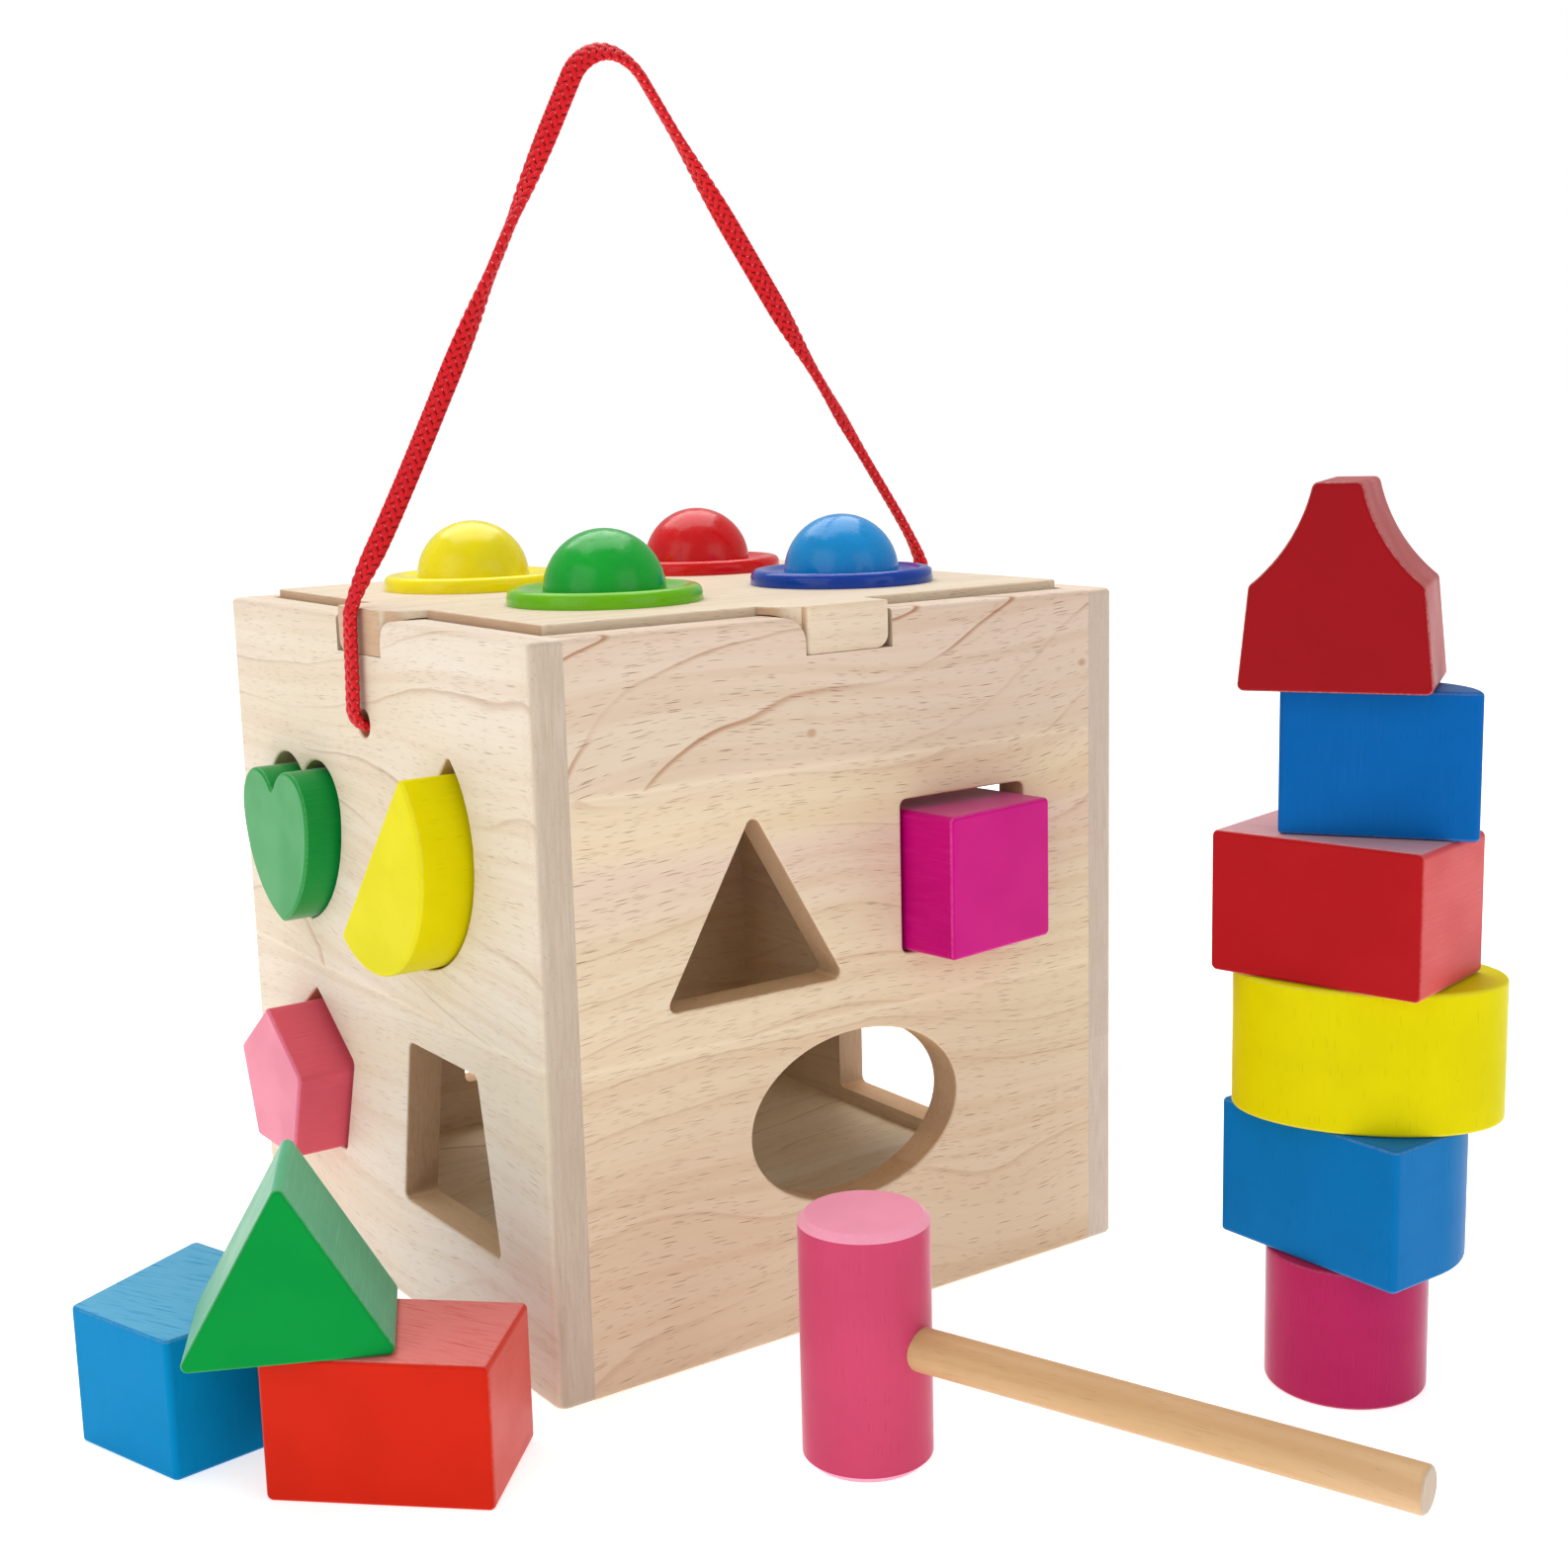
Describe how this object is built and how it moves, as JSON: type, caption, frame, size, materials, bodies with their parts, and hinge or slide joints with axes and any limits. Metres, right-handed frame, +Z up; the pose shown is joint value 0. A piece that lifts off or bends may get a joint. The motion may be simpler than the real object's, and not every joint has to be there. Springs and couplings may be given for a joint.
{
  "type": "shape sorter",
  "caption": "Wooden shape-sorting cube with shaped holes, a lift-off lid with balls in collars, a carrying cord, painted blocks and a small mallet.",
  "frame": {"origin": "centre of the box's underside, on the surface that everything stands on", "axes": "+Z up; -Y faces the side with the triangle, square and oval holes; -X the side with the heart hole"},
  "size_m": [0.2356, 0.302, 0.2761],
  "materials": {
    "panel_wood": "sanded",
    "lid_wood": "sanded",
    "handle_wood": "sanded",
    "red_cord": "braided",
    "ring_yellow": "gloss",
    "ring_green": "gloss",
    "ring_red": "gloss",
    "ring_blue": "gloss",
    "ball_yellow": "painted wood",
    "ball_green": "painted wood",
    "ball_red": "painted wood",
    "ball_blue": "painted wood",
    "paint_green": "painted",
    "paint_yellow": "painted",
    "paint_pink": "painted",
    "paint_magenta": "painted",
    "paint_rose": "painted",
    "mallet_pink": "painted",
    "paint_blue": "painted",
    "paint_red": "painted",
    "paint_orange": "painted"
  },
  "bodies": {
    "box": {"left_panel": "panel_wood", "right_panel": "panel_wood", "front_panel": "panel_wood", "back_panel": "panel_wood", "bottom_board": "panel_wood", "carry_cord": "red_cord", "cord_knots": "red_cord"},
    "lid": {"lid_board": "lid_wood", "ring_yellow": "ring_yellow", "ring_green": "ring_green", "ring_red": "ring_red", "ring_blue": "ring_blue"},
    "ball_yellow": {"ball_yellow": "ball_yellow"},
    "ball_green": {"ball_green": "ball_green"},
    "ball_red": {"ball_red": "ball_red"},
    "ball_blue": {"ball_blue": "ball_blue"},
    "heart_block": {"block_heart": "paint_green"},
    "half_disc_block": {"block_half_disc": "paint_yellow"},
    "pentagon_block": {"block_pentagon": "paint_pink"},
    "square_block": {"block_square": "paint_magenta"},
    "disc_block": {"block_disc": "paint_rose"},
    "arch_block": {"block_arch": "paint_blue"},
    "oval_block": {"block_oval": "paint_yellow"},
    "rectangle_red_block": {"block_rectangle_red": "paint_red"},
    "half_round_block": {"block_half_round": "paint_blue"},
    "bell_block": {"block_bell": "paint_red"},
    "rectangle_orange_block": {"block_rectangle_orange": "paint_orange"},
    "trapezoid_block": {"block_trapezoid": "paint_blue"},
    "triangle_block": {"block_triangle": "paint_green"},
    "mallet": {"mallet_head": "mallet_pink", "mallet_handle": "handle_wood"}
  },
  "joints": [
    {"name": "lid_lift", "type": "slide", "parent": "box", "child": "lid", "axis": [0, 0, 1], "range_m": [0, 0.03], "deforming": ["carry_cord"]},
    {"name": "yellow_ball_drop", "type": "slide", "parent": "lid", "child": "ball_yellow", "axis": [0, 0, 1], "range_m": [-0.1345, 0]},
    {"name": "green_ball_drop", "type": "slide", "parent": "lid", "child": "ball_green", "axis": [0, 0, 1], "range_m": [-0.1345, 0]},
    {"name": "red_ball_drop", "type": "slide", "parent": "lid", "child": "ball_red", "axis": [0, 0, 1], "range_m": [-0.1345, 0]},
    {"name": "blue_ball_drop", "type": "slide", "parent": "lid", "child": "ball_blue", "axis": [0, 0, 1], "range_m": [-0.1345, 0]},
    {"name": "heart_push", "type": "slide", "parent": "box", "child": "heart_block", "axis": [-1, 0, 0], "range_m": [-0.0165, 0.022]},
    {"name": "half_disc_push", "type": "slide", "parent": "box", "child": "half_disc_block", "axis": [-1, 0, 0], "range_m": [-0.0195, 0.019]},
    {"name": "pentagon_push", "type": "slide", "parent": "box", "child": "pentagon_block", "axis": [-1, 0, 0], "range_m": [-0.013, 0.017]},
    {"name": "square_push", "type": "slide", "parent": "box", "child": "square_block", "axis": [0.1392, -0.9903, 0], "range_m": [-0.0215, 0.022]},
    {"name": "disc_lift", "type": "slide", "parent": "box", "child": "disc_block", "axis": [0, 0, 1], "range_m": [0, 0.018]},
    {"name": "arch_lift", "type": "slide", "parent": "disc_block", "child": "arch_block", "axis": [0, 0, 1], "range_m": [0, 0.018]},
    {"name": "oval_lift", "type": "slide", "parent": "arch_block", "child": "oval_block", "axis": [0, 0, 1], "range_m": [0, 0.018]},
    {"name": "rectangle_red_lift", "type": "slide", "parent": "oval_block", "child": "rectangle_red_block", "axis": [0, 0, 1], "range_m": [0, 0.018]},
    {"name": "half_round_lift", "type": "slide", "parent": "rectangle_red_block", "child": "half_round_block", "axis": [0, 0, 1], "range_m": [0, 0.018]},
    {"name": "bell_lift", "type": "slide", "parent": "half_round_block", "child": "bell_block", "axis": [0, 0, 1], "range_m": [0, 0.018]},
    {"name": "orange_lift", "type": "slide", "parent": "box", "child": "rectangle_orange_block", "axis": [0, 0, 1], "range_m": [0, 0.03]},
    {"name": "triangle_lift", "type": "slide", "parent": "rectangle_orange_block", "child": "triangle_block", "axis": [0, 0, 1], "range_m": [0, 0.03]},
    {"name": "trapezoid_slide", "type": "slide", "parent": "box", "child": "trapezoid_block", "axis": [-1, 0, 0], "range_m": [0, 0.03]},
    {"name": "mallet_lift", "type": "slide", "parent": "box", "child": "mallet", "axis": [0, 0, 1], "range_m": [0, 0.06]}
  ]
}
